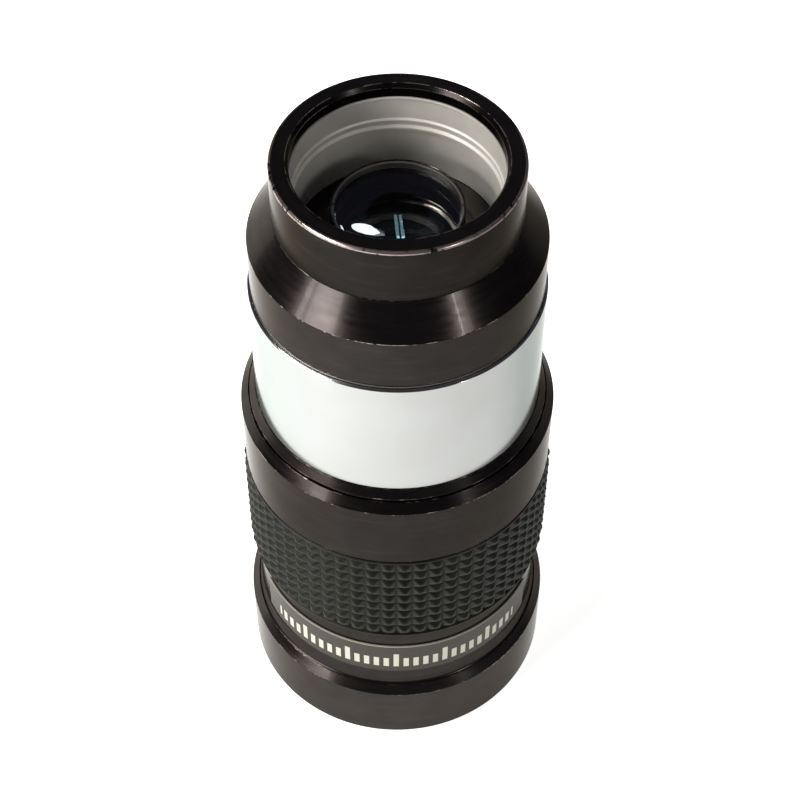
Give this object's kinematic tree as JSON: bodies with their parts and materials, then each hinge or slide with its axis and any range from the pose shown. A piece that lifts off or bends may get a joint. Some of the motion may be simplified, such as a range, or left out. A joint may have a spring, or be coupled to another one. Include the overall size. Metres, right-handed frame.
{
  "type": "barlow lens",
  "caption": "Achromatic Barlow lens tube with a chrome nosepiece, knurled rubber grip, unscrewing lens cell and eyepiece lock screw.",
  "frame": {"origin": "on the optical axis at the part's centroid, 45.7 mm above the face of the eyepiece holder that the part stands on", "axes": "+Z along the optical axis from the eyepiece socket to the lens cell; +Y towards the eyepiece lock screw; -Y towards the label"},
  "size_m": [0.0366, 0.0415, 0.0808],
  "materials": {
    "black_anodised": "black anodised, fine turned texture, worn thin on the edges",
    "satin_aluminium": "bare turned aluminium, satin",
    "chrome": "bright chrome plate",
    "rubber": "moulded matt rubber",
    "glass": "polished optical glass, blue anti-reflection coating",
    "brass": "plain turned brass",
    "label": "printed vinyl sticker, dark olive grey with pale marks",
    "nylon": "natural nylon",
    "matte_black": "flat black optical paint"
  },
  "bodies": {
    "tube": {"eyepiece_holder": "black_anodised", "compression_ring": "brass", "body_tube": "black_anodised", "body_field_stop": "matte_black", "rubber_grip": "rubber", "label_band": "label", "body_collar": "black_anodised", "nose_lock_ring": "black_anodised", "nosepiece_barrel": "chrome", "barrel_glare_stop": "matte_black"},
    "lens_group": {"front_lens": "glass", "rear_lens": "glass", "lens_seat_ring": "satin_aluminium"},
    "lens_cell": {"cell_body": "black_anodised", "cell_washer": "satin_aluminium", "front_ring": "black_anodised", "cell_sleeve": "satin_aluminium", "lens_tube": "black_anodised", "lens_retaining_ring": "satin_aluminium"},
    "lock_screw_tip": {"thumbscrew_pad": "nylon"},
    "lock_screw": {"thumbscrew": "black_anodised"}
  },
  "joints": [
    {"name": "lens_cell_travel", "type": "slide", "parent": "tube", "child": "lens_group", "axis": [0, 0, 1], "range_m": [0, 0.00481]},
    {"name": "lens_cell_turn", "type": "hinge", "parent": "lens_group", "child": "lens_cell", "pos_m": [0, 0, 0.0186], "axis": [0, 0, 1], "range_deg": [0, 2880]},
    {"name": "lock_screw_travel", "type": "slide", "parent": "tube", "child": "lock_screw_tip", "axis": [0, 1, 0], "range_m": [0, 0.001]},
    {"name": "lock_screw_turn", "type": "hinge", "parent": "lock_screw_tip", "child": "lock_screw", "pos_m": [0, 0.0189, -0.0414], "axis": [0, 1, 0], "range_deg": [0, 722]}
  ],
  "couplings": [
    {"joint": "lens_cell_travel", "follows": "lens_cell_turn", "m_per_rad": 0.000095493},
    {"joint": "lock_screw_turn", "follows": "lock_screw_travel", "rad_per_m": 12566}
  ]
}
